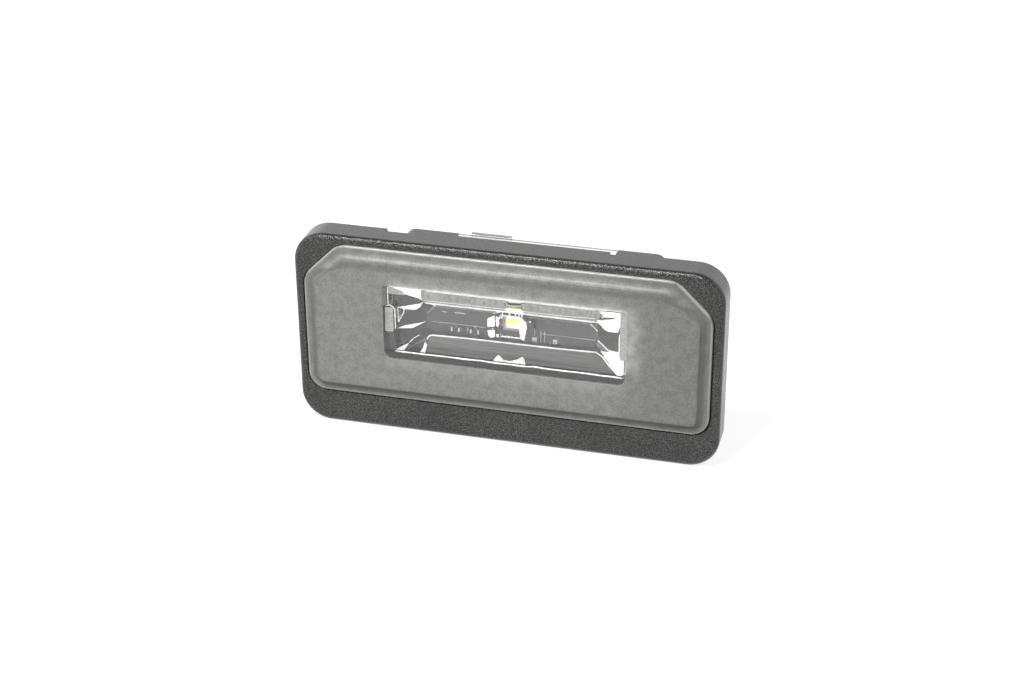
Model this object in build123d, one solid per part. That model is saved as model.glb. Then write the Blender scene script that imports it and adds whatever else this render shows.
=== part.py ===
from build123d import *
import os

# Number plate lamp, millimetres.
# +X is right seen from the front, +Y runs to the rear, +Z is up.
# The origin is the centre of the flange outline, on the plane where the flange rim meets the panel.

# Distance within which edges are picked
pick = 0.01

# Flange that shows on the car
flange_width = 74.0
flange_height = 35.8
flange_depth = 5.2
flange_corner_radius = 5.4
flange_edge_radius = 0.9
rim_wall = 1.6
rim_hollow = 0.6
pry_notch_width = 4.4
pry_notch_depth = 1.05
pry_notch_x = -19.5
drain_notch_width = 1.6
drain_notch_depth = 0.9
drain_notch_x = 17.6

# Lens: a cap with a raised, coved face, set in a pocket of the flange
lens_side_border = 1.8
lens_top_border = 1.5
lens_bottom_border = 6.35
lens_chamfer = 6.2
lens_chamfer_radius = 4.2
lens_bottom_radius = 3.2
lens_gap = 0.15
lens_pocket_depth = 2.5
lens_edge_proud = 0.3
lens_edge_radius = 0.3
lens_ledge = 0.9
lens_cove_width = 2.0
lens_cove_rise = 0.8
lens_plate = 2.5
lens_skirt = 1.4
pocket_lip_chamfer = 0.2

# Polished window in the frosted lens
window_width = 41.8
window_height = 13.5
window_z = 3.45
window_corner_radius = 0.8
window_recess = 0.1

# Clear light guide behind the window
guide_front_width = 40.6
guide_front_height = 12.1
guide_rear_width = 30.1
guide_rear_height = 5.45
guide_depth = 5.1
guide_z = 2.3
guide_drop = 0.575
guide_sunk = 0.4
guide_lip = 1.1
guide_brow_radius = 1.0
guide_corner = 0.3
guide_rear_corner = 1.3
guide_edge_chamfer = 0.25
guide_gap = 0.3
tab_reach = 3.3
tab_root = 1.6
tab_height = 7.0
tab_thickness = 0.9
tab_gap = 0.2
pad_width = 1.9
pad_height = 5.4
pad_out = 0.15
pad_z = 3.0
pad_gap = 0.15
pad_edge_radius = 0.5
led_cup_width = 7.0
led_cup_height = 5.2
led_cup_floor_width = 4.6
led_cup_floor_height = 3.4
led_cup_depth = 1.8
led_cup_corner = 0.25

# Body behind the panel
body_depth = 15.7
body_wall = 1.6
body_margin_x = 1.3
body_margin_z = 0.8
body_corner_radius = 1.8
body_corner_least = 0.3
hook_width = 5.0
hook_height = 2.4
hook_length = 4.2
hook_x = 12.0
panel_slot = 2.6

# Circuit board, staked to two ledges in the body
board_thickness = 1.0
board_side_gap = 0.4
board_end_gap = 0.3
board_air = 0.5
ledge_width = 3.2
ledge_thickness = 1.7
stake_radius = 0.7
stake_clearance = 0.2
stake_x_inset = 1.9
stake_head_radius = 1.5
stake_head_height = 0.8
stake_head_chamfer = 0.5

# Light-emitting diode
led_width = 3.5
led_height = 2.8
led_thickness = 0.75
led_z = 2.5
phosphor_width = 2.4
phosphor_height = 1.9
phosphor_depth = 0.35
led_lead_width = 0.9
led_lead_reach = 0.5
led_lead_thickness = 0.15

# Chip parts: length, width, height and the length of each end cap
load_resistor_size = (6.3, 3.2, 0.6, 0.7)
small_resistor_size = (1.6, 0.8, 0.35, 0.3)
capacitor_size = (3.2, 1.6, 1.3, 0.5)
chip_gap = 1.2
load_resistor_spread = 7.8
small_resistor_x = (-10.1, -6.7)
small_resistor_z = 0.2
capacitor_spread = 3.4
capacitor_z = -1.0
diode_length = 4.3
diode_width = 2.6
diode_height = 2.1
diode_lead_width = 1.5
diode_lead_reach = 0.6
diode_lead_thickness = 0.25
diode_z = 6.4

# Rear cover with its two-way connector
cover_thickness = 2.0
cover_gap = 0.1
cover_step = 0.6
connector_x = 5.7
connector_z = 0.0
connector_width = 9.2
connector_height = 5.8
connector_depth = 10.0
connector_wall = 1.2
connector_corner_radius = 0.8
latch_width = 3.0
latch_height = 1.1
latch_length = 2.4
latch_setback = 1.6
key_width = 1.0
key_height = 0.8
pin_pitch = 3.6
pin_width = 0.8
pin_reach = 5.0
pin_proud = 0.25
pin_tip = 0.2
pin_gap = 0.05
solder_width = 1.5
solder_height = 0.2
solder_corner = 0.29

# Retaining spring of bent sheet
spring_x = 0.6
spring_width = 28.5
spring_thickness = 0.45
spring_base = 4.5
spring_run_out = 1.2
spring_crest_height = 3.3
spring_crest_y = 4.8
spring_front_y = 2.2
spring_front_height = 1.2
spring_lip = 2.6
spring_bend_radius = 0.5
spring_slot_width = 1.2
spring_slot_x = 4.4
spring_gap = 0.1
spring_stop_width = 7.3
spring_stop_x = -8.45
spring_stop_height = 0.3
peg_size = 1.2
peg_proud = 0.25
peg_x = 9.0
peg_setback = 3.3
peg_gap = 0.15

# Heights and depths that follow from the sizes above
flange_front = -flange_depth
pocket_floor = flange_front + lens_pocket_depth
shelf_rear = -rim_hollow
lens_edge_front = flange_front - lens_edge_proud
lens_face = lens_edge_front - lens_cove_rise
lens_inside = lens_face + lens_plate
lens_half_width = flange_width / 2 - lens_side_border
lens_top = flange_height / 2 - lens_top_border
lens_bottom = -flange_height / 2 + lens_bottom_border
guide_front = pocket_floor + guide_sunk
guide_rear = guide_front + guide_depth
body_inner_width = guide_front_width + 2 * (guide_gap + body_margin_x)
body_inner_height = guide_front_height + 2 * (guide_gap + body_margin_z)
body_height = body_inner_height + 2 * body_wall
body_top = guide_z + body_height / 2
body_bottom = guide_z - body_height / 2
board_front = guide_rear + board_air
board_rear = board_front + board_thickness
stake_x = body_inner_width / 2 - stake_x_inset
cover_inside = body_depth - cover_thickness
connector_mouth = body_depth + connector_depth
pin_x = (connector_x - pin_pitch / 2, connector_x + pin_pitch / 2)
peg_rear = body_depth - peg_setback + peg_size / 2
chip_limit = stake_x - stake_head_radius - chip_gap


def facing(y):
    """Plane seen from the front at depth y: sketch x is X, sketch y is Z, and its normal points forward."""
    return Plane(origin=(0, y, 0), x_dir=(1, 0, 0), z_dir=(0, -1, 0))


def slab(outline, rear, front):
    """Solid of an outline that fills the depth from front to rear."""
    return extrude(facing(rear) * outline, rear - front)


def block(width, height, x, z, rear, front):
    """Upright box centred on x and z that fills the depth from front to rear."""
    return slab(Pos(x, z) * Rectangle(width, height), rear, front)


def cut_rectangle(width, height, corner, x, z):
    """Outline of a rectangle with cut corners, centred on x and z."""
    return Pos(x, z) * chamfer(Rectangle(width, height).vertices(), corner)


def lens_outline():
    """Outline of the lens: chamfered top corners, rounded bottom corners."""
    outline = Polygon(
        (-lens_half_width, lens_bottom),
        (lens_half_width, lens_bottom),
        (lens_half_width, lens_top - lens_chamfer),
        (lens_half_width - lens_chamfer, lens_top),
        (-lens_half_width + lens_chamfer, lens_top),
        (-lens_half_width, lens_top - lens_chamfer),
        align=None,
    )
    outline = fillet(outline.vertices().group_by(Axis.Y)[0], lens_bottom_radius)
    sharp = [v for v in outline.vertices() if v.Y > lens_top - lens_chamfer - pick]
    return fillet(sharp, lens_chamfer_radius)


def body_outline(grow):
    """Rounded outline of the body's inside, grown by the given wall."""
    width = body_inner_width + 2 * grow
    height = body_inner_height + 2 * grow
    radius = max(body_corner_radius - body_wall + grow, body_corner_least)
    return Pos(0, guide_z) * RectangleRounded(width, height, radius)


def lens_cove():
    """Ring cut from the lens: a level ledge, and a concave arc that rises from it to the raised face."""
    path = (facing(lens_edge_front) * lens_outline()).face().outer_wire()
    start = path @ 0
    along = path % 0
    inward = Vector(0, -1, 0).cross(along)
    if inward.dot(Vector(0, start.Y, guide_z) - start) < 0:
        inward = -inward
    across = Plane(origin=start, x_dir=inward, z_dir=along)
    forward = 1 if across.y_dir.Y < 0 else -1
    margin = lens_gap + lens_cove_rise
    ledge = Line((0, 0), (lens_ledge, 0))
    arc = TangentArc((lens_ledge, 0), (lens_cove_width, forward * lens_cove_rise), tangent=(1, 0))
    rest = Polyline(
        (lens_cove_width, forward * lens_cove_rise),
        (lens_cove_width, forward * (lens_cove_rise + margin)),
        (-margin, forward * (lens_cove_rise + margin)),
        (-margin, 0),
        (0, 0),
    )
    profile = make_face([ledge, arc, rest])
    return sweep(across * profile, path=path)


def make_lens():
    outline = lens_outline()
    lens = slab(outline, lens_inside, lens_face) - lens_cove()
    skirt = outline - offset(outline, -lens_skirt)
    lens += slab(skirt, pocket_floor, lens_inside)
    ledges = lens.faces().filter_by_position(Axis.Y, lens_edge_front - pick, lens_edge_front + pick)
    lens = fillet(ledges[0].outer_wire().edges(), lens_edge_radius)
    window = Pos(0, window_z) * RectangleRounded(window_width, window_height, window_corner_radius)
    return lens - slab(window, lens_face + window_recess, lens_face)


def make_light_guide():
    """Clear block that narrows to its rear, with a cup for the diode, a rounded brow, tabs and pads."""
    lip_rear = guide_front + guide_lip
    slope_rear = guide_rear - guide_edge_chamfer
    rear_z = guide_z - guide_drop
    inset = 2 * guide_edge_chamfer
    lip = cut_rectangle(guide_front_width, guide_front_height, guide_corner, 0, guide_z)
    slope = cut_rectangle(guide_rear_width, guide_rear_height, guide_rear_corner, 0, rear_z)
    rear = cut_rectangle(guide_rear_width - inset, guide_rear_height - inset, guide_rear_corner, 0, rear_z)
    guide = slab(lip, lip_rear, guide_front)
    guide += loft([facing(lip_rear) * lip, facing(slope_rear) * slope, facing(guide_rear) * rear], ruled=True)
    radius = guide_brow_radius
    brow_corner = (-guide_front_width / 2, guide_front + radius, guide_z + guide_front_height / 2 - radius)
    brow = Pos(-radius / 2, radius / 2) * Rectangle(radius, radius) - Circle(radius)
    guide -= extrude(Plane(origin=brow_corner, x_dir=(0, 1, 0), z_dir=(1, 0, 0)) * brow, guide_front_width)
    cup_rear = cut_rectangle(led_cup_width, led_cup_height, led_cup_height * led_cup_corner, 0, led_z)
    cup_floor = cut_rectangle(
        led_cup_floor_width, led_cup_floor_height, led_cup_floor_height * led_cup_corner, 0, led_z
    )
    guide -= loft([facing(guide_rear) * cup_rear, facing(guide_rear - led_cup_depth) * cup_floor], ruled=True)
    for side in (-1, 1):
        tab_x = side * (guide_front_width + tab_reach - tab_root) / 2
        tab_rear = guide_front + tab_thickness
        tab = block(tab_root + tab_reach, tab_height, tab_x, guide_z, tab_rear, guide_front)
        pad_x = side * (guide_front_width / 2 + pad_out)
        pad_outline = Pos(pad_x, pad_z) * SlotOverall(pad_height, pad_width, rotation=90)
        pad = slab(pad_outline, guide_front, lens_inside + pad_gap)
        pad = fillet(pad.faces().sort_by(Axis.Y)[0].edges(), pad_edge_radius)
        guide += tab + pad
    return guide


def make_housing():
    flange = slab(RectangleRounded(flange_width, flange_height, flange_corner_radius), 0, flange_front)
    flange = fillet(flange.faces().sort_by(Axis.Y)[0].edges(), flange_edge_radius)
    pocket = slab(offset(lens_outline(), lens_gap), pocket_floor, flange_front)
    flange -= pocket
    lip = flange.faces().sort_by(Axis.Y)[0].inner_wires()[0].edges()
    flange = chamfer(lip, pocket_lip_chamfer)
    hollow_width = flange_width - 2 * rim_wall
    hollow_height = flange_height - 2 * rim_wall
    hollow = RectangleRounded(hollow_width, hollow_height, flange_corner_radius - rim_wall)
    flange -= slab(hollow, 0, shelf_rear)
    for x, width, depth in (
        (pry_notch_x, pry_notch_width, pry_notch_depth),
        (drain_notch_x, drain_notch_width, drain_notch_depth),
    ):
        flange -= block(width, 2 * rim_wall, x, flange_height / 2, 0, -depth)
    housing = flange + slab(body_outline(body_wall), body_depth, shelf_rear)
    housing -= slab(body_outline(0), body_depth, pocket_floor)
    housing -= slab(body_outline(cover_step), body_depth, cover_inside)
    room_width = guide_front_width + 2 * (tab_reach + tab_gap)
    room_height = tab_height + 2 * tab_gap
    housing -= block(room_width, room_height, 0, guide_z, guide_front + tab_thickness, pocket_floor)
    for side in (-1, 1):
        ledge_x = side * (body_inner_width / 2 - ledge_width / 2)
        ledge_front = board_front - ledge_thickness
        ledge = block(ledge_width, body_inner_height, ledge_x, guide_z, board_front, ledge_front)
        stake = Pos(side * stake_x, guide_z)
        post = slab(stake * Circle(stake_radius), board_rear, board_front)
        head = slab(stake * Circle(stake_head_radius), board_rear + stake_head_height, board_rear)
        head = chamfer(head.faces().sort_by(Axis.Y)[-1].edges(), stake_head_chamfer)
        housing += ledge + post + head
    for side in (-1, 1):
        hook_corner = (side * hook_x - hook_width / 2, panel_slot, body_bottom)
        hook = Polygon((0, 0), (0, -hook_height), (hook_length, 0), align=None)
        housing += extrude(Plane(origin=hook_corner, x_dir=(0, 1, 0), z_dir=(1, 0, 0)) * hook, hook_width)
    seat_width = spring_width + 2 * spring_gap
    seat_corner = (spring_x - seat_width / 2, body_depth, body_top)
    seat = Polygon(
        (0, 0),
        (-spring_base - spring_run_out, 0),
        (-spring_base - spring_run_out, -spring_thickness),
        (-spring_bend_radius, -spring_thickness),
        (0, -spring_thickness - spring_bend_radius),
        align=None,
    )
    housing -= extrude(Plane(origin=seat_corner, x_dir=(0, 1, 0), z_dir=(1, 0, 0)) * seat, seat_width)
    for side in (-1, 1):
        peg_height = spring_thickness + peg_proud
        peg_z = body_top + peg_proud - peg_height / 2
        place_x = spring_x + side * peg_x
        housing += block(peg_size, peg_height, place_x, peg_z, peg_rear, peg_rear - peg_size)
    return housing


def make_retaining_spring():
    """Strip of sheet bent in a crest that catches behind the panel, with a lip over the body's rear edge."""
    base_z = body_top - spring_thickness / 2
    lip_y = body_depth + spring_thickness / 2
    bends = FilletPolyline(
        (spring_x, lip_y, body_top - spring_lip),
        (spring_x, lip_y, base_z),
        (spring_x, body_depth - spring_base, base_z),
        (spring_x, spring_crest_y, body_top + spring_crest_height),
        (spring_x, spring_front_y, body_top + spring_front_height),
        radius=spring_bend_radius,
    )
    across = Plane(origin=bends @ 0, x_dir=(1, 0, 0), z_dir=bends % 0)
    spring = sweep(across * Rectangle(spring_width, spring_thickness), path=bends)
    slot_rear = body_depth - spring_base
    slot_height = 4 * spring_crest_height
    for side in (-1, 1):
        slot_x = spring_x + side * spring_slot_x
        spring -= block(spring_slot_width, slot_height, slot_x, body_top, slot_rear, 0)
        hole_size = peg_size + 2 * peg_gap
        hole_rear = peg_rear + peg_gap
        hole_x = spring_x + side * peg_x
        spring -= block(hole_size, hole_size, hole_x, body_top, hole_rear, hole_rear - hole_size)
    stop_z = body_top + spring_stop_height / 2 - spring_thickness / 2
    stop_height = spring_stop_height + spring_thickness
    lip_rear = body_depth + spring_thickness
    spring += block(
        spring_stop_width, stop_height, spring_x + spring_stop_x, stop_z, lip_rear, body_depth
    )
    return spring


def make_circuit_board():
    width = body_inner_width - 2 * board_side_gap
    height = body_inner_height - 2 * board_end_gap
    outline = Pos(0, guide_z) * Rectangle(width, height)
    for side in (-1, 1):
        outline -= Pos(side * stake_x, guide_z) * Circle(stake_radius + stake_clearance)
    for x in pin_x:
        outline -= Pos(x, connector_z) * Rectangle(pin_width + 2 * pin_gap, pin_width + 2 * pin_gap)
    return slab(outline, board_rear, board_front)


def make_led():
    """The diode's white package, its phosphor plate and its leads."""
    front = board_front - led_thickness
    package = block(led_width, led_height, 0, led_z, board_front, front)
    phosphor = block(phosphor_width, phosphor_height, 0, led_z, front + phosphor_depth, front)
    leads = []
    for side in (-1, 1):
        for row in (-1, 1):
            x = side * (led_width + led_lead_reach) / 2
            z = led_z + row * led_height / 4
            lead_front = board_front - led_lead_thickness
            leads.append(block(led_lead_reach, led_lead_width, x, z, board_front, lead_front))
    return package - phosphor, phosphor, Compound(children=leads)


def make_chips(size, places, on_rear):
    """Chip parts on one face of the board: their bodies, and their metal end caps."""
    length, width, height, cap = size
    rear = board_rear + height if on_rear else board_front
    bodies = []
    caps = []
    for x, z in places:
        bodies.append(block(length - 2 * cap, width, x, z, rear, rear - height))
        for side in (-1, 1):
            caps.append(block(cap, width, x + side * (length - cap) / 2, z, rear, rear - height))
    return Compound(children=bodies), Compound(children=caps)


def make_protection_diode():
    x = chip_limit - diode_length / 2 - diode_lead_reach
    rear = board_rear + diode_height
    diode = block(diode_length, diode_width, x, diode_z, rear, board_rear + diode_lead_thickness)
    leads = []
    for side in (-1, 1):
        lead_length = 2 * diode_lead_reach
        lead_x = x + side * diode_length / 2
        lead_rear = board_rear + diode_lead_thickness
        leads.append(block(lead_length, diode_lead_width, lead_x, diode_z, lead_rear, board_rear))
    return diode, Compound(children=leads)


def make_rear_cover():
    """Cover let into the body's rear, with a connector shroud, a catch for the plug and two ribs."""
    cover = slab(body_outline(cover_step - cover_gap), body_depth, cover_inside)
    outer_width = connector_width + 2 * connector_wall
    outer_height = connector_height + 2 * connector_wall
    place = Pos(connector_x, connector_z)
    shroud = place * RectangleRounded(outer_width, outer_height, connector_corner_radius + connector_wall)
    shroud -= place * RectangleRounded(connector_width, connector_height, connector_corner_radius)
    cover += slab(shroud, connector_mouth, body_depth)
    catch_x = connector_x - latch_width / 2
    catch_corner = (catch_x, connector_mouth - latch_setback, connector_z - outer_height / 2)
    catch = Polygon((0, 0), (latch_length, 0), (latch_length, latch_height), align=None)
    cover += extrude(Plane(origin=catch_corner, x_dir=(0, -1, 0), z_dir=(1, 0, 0)) * catch, latch_width)
    for side in (-1, 1):
        rib_x = connector_x + side * (outer_width + key_height) / 2
        cover += block(key_height, key_width, rib_x, connector_z, connector_mouth, body_depth)
    for x in pin_x:
        hole_size = pin_width + 2 * pin_gap
        cover -= block(hole_size, hole_size, x, connector_z, body_depth, cover_inside)
    return cover


def make_contact_pins():
    pins = []
    for x in pin_x:
        pin = block(pin_width, pin_width, x, connector_z, body_depth + pin_reach, board_front - pin_proud)
        pins.append(chamfer(pin.faces().sort_by(Axis.Y)[-1].edges(), pin_tip))
    return Compound(children=pins)


def make_solder_joints():
    joints = []
    for x in pin_x:
        foot = cut_rectangle(solder_width, solder_width, solder_width * solder_corner, x, connector_z)
        top_width = solder_width - 2 * solder_height
        top = cut_rectangle(top_width, top_width, top_width * solder_corner, x, connector_z)
        solder_front = board_front - solder_height
        joint = loft([facing(board_front) * foot, facing(solder_front) * top], ruled=True)
        joints.append(joint - block(pin_width, pin_width, x, connector_z, board_front, solder_front))
    return Compound(children=joints)


load_resistor_x = -chip_limit + load_resistor_size[0] / 2
load_resistor_step = load_resistor_size[0] + chip_gap
load_resistor_places = [
    (load_resistor_x + column * load_resistor_step, guide_z + row * load_resistor_spread / 2)
    for column in (0, 1)
    for row in (-1, 1)
]
small_resistor_places = [(x, small_resistor_z) for x in small_resistor_x]
capacitor_x = chip_limit - capacitor_size[0] / 2
capacitor_places = [(capacitor_x, capacitor_z + row * capacitor_spread / 2) for row in (-1, 1)]

led_package, led_phosphor, led_leads = make_led()
load_resistors, load_resistor_ends = make_chips(load_resistor_size, load_resistor_places, True)
small_resistors, small_resistor_ends = make_chips(small_resistor_size, small_resistor_places, False)
capacitors, capacitor_ends = make_chips(capacitor_size, capacitor_places, True)
protection_diode, diode_leads = make_protection_diode()

nodes = {
    "housing": make_housing(),
    "lens": make_lens(),
    "light_guide": make_light_guide(),
    "rear_cover": make_rear_cover(),
    "retaining_spring": make_retaining_spring(),
    "circuit_board": make_circuit_board(),
    "led_package": led_package,
    "led_phosphor": led_phosphor,
    "led_leads": led_leads,
    "load_resistors": load_resistors,
    "load_resistor_ends": load_resistor_ends,
    "small_resistors": small_resistors,
    "small_resistor_ends": small_resistor_ends,
    "capacitors": capacitors,
    "capacitor_ends": capacitor_ends,
    "protection_diode": protection_diode,
    "diode_leads": diode_leads,
    "contact_pins": make_contact_pins(),
    "solder_joints": make_solder_joints(),
}

os.makedirs("parts", exist_ok=True)
for name, solid in nodes.items():
    export_step(solid, f"parts/{name}.step")
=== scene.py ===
"""Looks of a number plate lamp, laid out as an add-on and run as a script.

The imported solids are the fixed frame. Each of them gets a finish made of nodes on Object coordinates, the
fine pieces are surfaces worked out with numpy, and the stage is a pale floor under soft light.
"""

import math

import bmesh
import bpy
import numpy as np
from bpy.props import FloatProperty, FloatVectorProperty, PointerProperty
from mathutils import Matrix, Vector


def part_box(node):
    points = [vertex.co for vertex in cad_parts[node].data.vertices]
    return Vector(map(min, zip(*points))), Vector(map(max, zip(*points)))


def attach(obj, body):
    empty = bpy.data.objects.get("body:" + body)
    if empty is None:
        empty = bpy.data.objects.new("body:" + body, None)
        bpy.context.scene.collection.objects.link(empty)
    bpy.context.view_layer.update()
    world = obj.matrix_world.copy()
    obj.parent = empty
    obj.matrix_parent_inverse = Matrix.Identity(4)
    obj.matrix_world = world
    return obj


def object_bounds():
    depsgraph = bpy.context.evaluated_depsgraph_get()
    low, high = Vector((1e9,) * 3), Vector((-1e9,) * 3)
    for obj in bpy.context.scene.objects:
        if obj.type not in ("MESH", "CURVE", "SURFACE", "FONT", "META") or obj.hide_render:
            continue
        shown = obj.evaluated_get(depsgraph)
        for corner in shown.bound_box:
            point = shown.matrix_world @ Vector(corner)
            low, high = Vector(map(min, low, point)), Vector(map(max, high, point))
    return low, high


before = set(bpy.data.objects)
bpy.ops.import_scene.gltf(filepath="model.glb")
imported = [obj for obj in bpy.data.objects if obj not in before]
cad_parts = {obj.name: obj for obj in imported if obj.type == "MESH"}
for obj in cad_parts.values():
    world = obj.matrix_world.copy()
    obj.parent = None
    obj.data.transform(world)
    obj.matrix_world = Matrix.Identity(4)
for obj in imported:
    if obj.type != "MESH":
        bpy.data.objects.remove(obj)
cad_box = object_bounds()

bl_info = {
    "name": "Number plate lamp",
    "version": (1, 0, 0),
    "blender": (4, 5, 0),
    "location": "View3D > Sidebar > Lamp",
    "description": "Finishes, fine pieces and stage of a number plate lamp",
    "category": "Object",
}

MM = 0.001
BODY = "root"
WHITE = (1.0, 1.0, 1.0, 1.0)


def shade(colour, factor):
    """A colour made lighter or darker, with its alpha kept at 1."""
    return tuple(min(channel * factor, 1.0) for channel in colour[:3]) + (1.0,)


class Nodes:
    """Short calls for the nodes of a tree, whose patterns follow one kind of coordinates."""

    def __init__(self, tree, kind):
        self.tree = tree
        self.coordinates = tree.nodes.new("ShaderNodeTexCoord").outputs
        self.place = self.coordinates[kind]

    def put(self, socket, value):
        """Link a socket to another node's output, or set a plain value on it."""
        if isinstance(value, bpy.types.NodeSocket):
            self.tree.links.new(value, socket)
        else:
            socket.default_value = value

    def math(self, operation, first, second=0.0, third=0.0):
        """One sum on numbers or sockets."""
        node = self.tree.nodes.new("ShaderNodeMath")
        node.operation = operation
        for socket, value in zip(node.inputs, (first, second, third)):
            self.put(socket, value)
        return node.outputs["Value"]

    def times(self, first, *others):
        """Product of numbers or sockets."""
        for other in others:
            first = self.math("MULTIPLY", first, other)
        return first

    def between(self, value, low, high, start=0.0, end=1.0):
        """Carry a value smoothly from the span low to high over to the span start to end."""
        node = self.tree.nodes.new("ShaderNodeMapRange")
        node.interpolation_type = "SMOOTHSTEP"
        numbers = {"Value": value, "From Min": low, "From Max": high, "To Min": start, "To Max": end}
        for name, number in numbers.items():
            self.put(node.inputs[name], number)
        return node.outputs["Result"]

    def split(self, vector):
        """The X, Y and Z of a vector."""
        node = self.tree.nodes.new("ShaderNodeSeparateXYZ")
        self.put(node.inputs["Vector"], vector)
        return node.outputs

    def axes(self):
        """The X, Y and Z of the place."""
        return self.split(self.place)

    def turned(self):
        """The X, Y and Z of the way that the surface faces."""
        return self.split(self.coordinates["Normal"])

    def path(self):
        """The kinds of ray that may be looking."""
        return self.tree.nodes.new("ShaderNodeLightPath").outputs

    def stretched(self, x, y, z):
        """The place, stretched along its axes."""
        node = self.tree.nodes.new("ShaderNodeMapping")
        self.put(node.inputs["Vector"], self.place)
        self.put(node.inputs["Scale"], (x, y, z))
        return node.outputs["Vector"]

    def noise(self, size, detail, place=None):
        """Soft noise with lumps of about the given size, and so many finer layers."""
        node = self.tree.nodes.new("ShaderNodeTexNoise")
        self.put(node.inputs["Vector"], place or self.place)
        self.put(node.inputs["Scale"], 1.0 / size)
        self.put(node.inputs["Detail"], detail)
        return node.outputs[0]

    def cells(self, size):
        """Distance from the middle of the nearest of many cells of the given size."""
        node = self.tree.nodes.new("ShaderNodeTexVoronoi")
        self.put(node.inputs["Vector"], self.place)
        self.put(node.inputs["Scale"], 1.0 / size)
        return node.outputs["Distance"]

    def mix(self, share, first, second):
        """Blend two colours."""
        node = self.tree.nodes.new("ShaderNodeMix")
        node.data_type = "RGBA"
        sockets = [s for s in node.inputs if s.type == "RGBA"]
        self.put(node.inputs[0], share)
        self.put(sockets[0], first)
        self.put(sockets[1], second)
        return [s for s in node.outputs if s.type == "RGBA"][0]

    def vary(self, share, colour, low, high):
        """Carry one colour from a darker to a lighter shade of it."""
        return self.mix(share, shade(colour, low), shade(colour, high))

    def rough(self, noise, low, high):
        """Roughness that follows the middle range of a noise."""
        return self.between(noise, 0.2, 0.8, low, high)

    def bump(self, height, depth):
        """Normal of a relief whose height from 0 to 1 spans the given depth."""
        node = self.tree.nodes.new("ShaderNodeBump")
        self.put(node.inputs["Strength"], 1.0)
        self.put(node.inputs["Distance"], depth)
        self.put(node.inputs["Height"], height)
        return node.outputs["Normal"]


class Finish(Nodes):
    """A material made of such nodes on Object coordinates."""

    def __init__(self, name):
        self.material = bpy.data.materials.new(name)
        self.material.use_nodes = True
        super().__init__(self.material.node_tree, "Object")
        self.shader = self.tree.nodes["Principled BSDF"]

    def dress(self, values):
        """Give the shader's sockets, by name, their values or links."""
        for name, value in values.items():
            self.put(self.shader.inputs[name], value)
        return self.material


def paint(material, *nodes):
    """Put a finish on the slots of the named solids."""
    for name in nodes:
        for index in range(len(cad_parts[name].data.materials)):
            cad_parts[name].data.materials[index] = material


def put_surface(name, points, material):
    """Make one piece of several closed tubes. The points are an array by tube, place along u, place round w
    and axis. Each tube's four-sided faces join the neighbours along u and round w, where the last meets the
    first."""
    tubes, rows, columns = points.shape[:3]
    index = np.arange(tubes * rows * columns).reshape(tubes, rows, columns)
    after = np.roll(index, -1, axis=2)
    faces = np.stack([index[:, :-1], after[:, :-1], after[:, 1:], index[:, 1:]], -1).reshape(-1, 4)
    mesh = bpy.data.meshes.new(name)
    mesh.from_pydata(points.reshape(-1, 3).tolist(), [], faces.tolist())
    body = bmesh.new()
    body.from_mesh(mesh)
    bmesh.ops.remove_doubles(body, verts=body.verts, dist=1e-7)
    bmesh.ops.recalc_face_normals(body, faces=body.faces)
    body.to_mesh(mesh)
    body.free()
    mesh.materials.append(material)
    piece = bpy.data.objects.new(name, mesh)
    bpy.context.scene.collection.objects.link(piece)
    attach(piece, BODY)


class LampColours(bpy.types.PropertyGroup):
    """Colours of the lamp's materials."""

    moulding: FloatVectorProperty(
        name="Moulding", description="Black grained plastic of housing and cover", subtype="COLOR", size=4,
        min=0.0, max=1.0, default=(0.042, 0.042, 0.040, 1.0))
    frost: FloatVectorProperty(
        name="Frost", description="Frosted plastic of the lens", subtype="COLOR", size=4,
        min=0.0, max=1.0, default=(0.435, 0.435, 0.422, 1.0))
    board: FloatVectorProperty(
        name="Board", description="Solder mask of the circuit board", subtype="COLOR", size=4,
        min=0.0, max=1.0, default=(0.034, 0.036, 0.035, 1.0))
    package: FloatVectorProperty(
        name="Package", description="White package of the diode", subtype="COLOR", size=4,
        min=0.0, max=1.0, default=(0.86, 0.86, 0.84, 1.0))
    phosphor: FloatVectorProperty(
        name="Phosphor", description="Yellow field of the diode", subtype="COLOR", size=4,
        min=0.0, max=1.0, default=(0.86, 0.78, 0.10, 1.0))
    steel: FloatVectorProperty(
        name="Steel", description="Sheet of the retaining spring", subtype="COLOR", size=4,
        min=0.0, max=1.0, default=(0.78, 0.78, 0.77, 1.0))
    tin: FloatVectorProperty(
        name="Tin", description="Plating of pins, leads and end caps", subtype="COLOR", size=4,
        min=0.0, max=1.0, default=(0.80, 0.80, 0.78, 1.0))
    chip: FloatVectorProperty(
        name="Chip", description="Coating of resistors and diode", subtype="COLOR", size=4,
        min=0.0, max=1.0, default=(0.020, 0.020, 0.022, 1.0))
    ceramic: FloatVectorProperty(
        name="Ceramic", description="Body of the capacitors", subtype="COLOR", size=4,
        min=0.0, max=1.0, default=(0.33, 0.22, 0.13, 1.0))


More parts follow.
